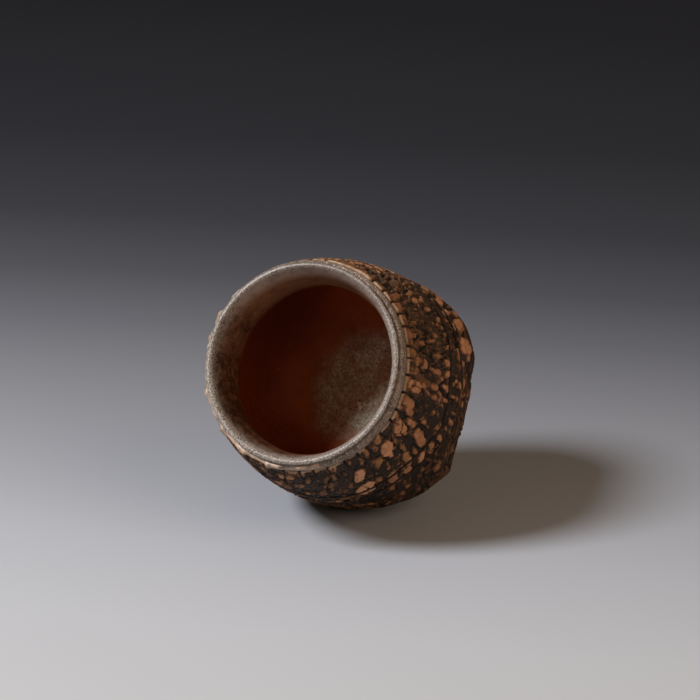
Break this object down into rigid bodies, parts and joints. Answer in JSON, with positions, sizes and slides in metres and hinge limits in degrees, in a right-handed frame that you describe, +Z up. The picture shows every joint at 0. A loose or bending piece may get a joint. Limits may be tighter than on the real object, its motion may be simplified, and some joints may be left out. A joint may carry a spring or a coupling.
{
  "type": "sake cup",
  "caption": "Small thick-walled stoneware cup with a rounded lip, a dark crackled skin with raised tan islands and a torn upper edge, incised grooves, a glazed bowl and a turned foot ring.",
  "frame": {"origin": "centre of the foot ring's standing face, on the surface that the cup stands on", "axes": "+Z up through the middle of the mouth; the side that the picture shows faces -Y"},
  "size_m": [0.0721, 0.0717, 0.06],
  "materials": {
    "bare_clay": "unglazed fired stoneware, warm brown, matte, with fine turning marks",
    "crackled_skin": "matte charcoal-brown slip with raised tan islands, black cracks and incised grooves",
    "liner_glaze": "semi-gloss oxblood glaze inside, thinning to a speckled satin grey-brown over the lip"
  },
  "bodies": {
    "root": {"clay_body": "bare_clay", "foot_ring": "bare_clay", "shoulder_skin": "crackled_skin", "waist_skin": "crackled_skin", "base_skin": "crackled_skin", "liner_glaze": "liner_glaze"}
  },
  "joints": []
}
